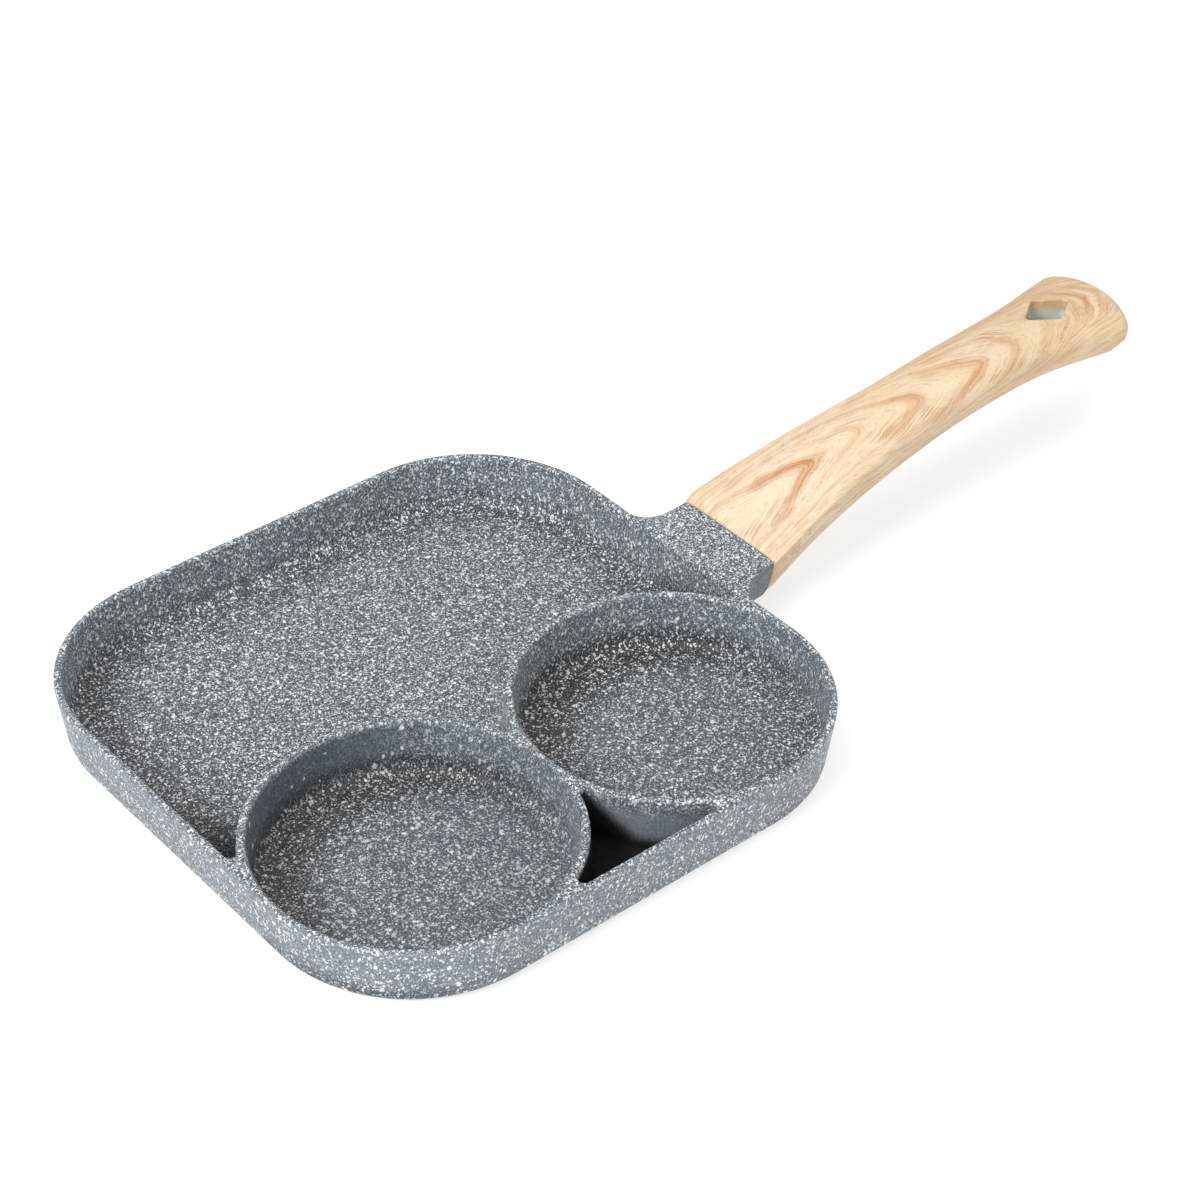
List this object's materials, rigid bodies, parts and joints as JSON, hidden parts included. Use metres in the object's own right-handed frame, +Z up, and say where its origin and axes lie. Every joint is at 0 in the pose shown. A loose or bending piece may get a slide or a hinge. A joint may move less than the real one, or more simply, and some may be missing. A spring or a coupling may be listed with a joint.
{
  "type": "divided frying pan",
  "caption": "Square stone-coated frying pan divided into a large well, round wells and a small pocket, with a curved wood-effect handle that ends in a hanging hole.",
  "frame": {"origin": "middle of the square pan's flat base, on the surface that it stands on", "axes": "+X along the handle, away from the pan; +Y towards the large well; +Z up"},
  "size_m": [0.3715, 0.19, 0.0485],
  "materials": {
    "stone_coating": "cast, with a satin blue-grey non-stick coating speckled white and black like stone",
    "wood_effect": "pale wood grain on a soft satin surface",
    "steel": "plain machined"
  },
  "bodies": {
    "root": {"pan_body": "stone_coating", "handle": "wood_effect", "fixing_screw": "steel"}
  },
  "joints": []
}
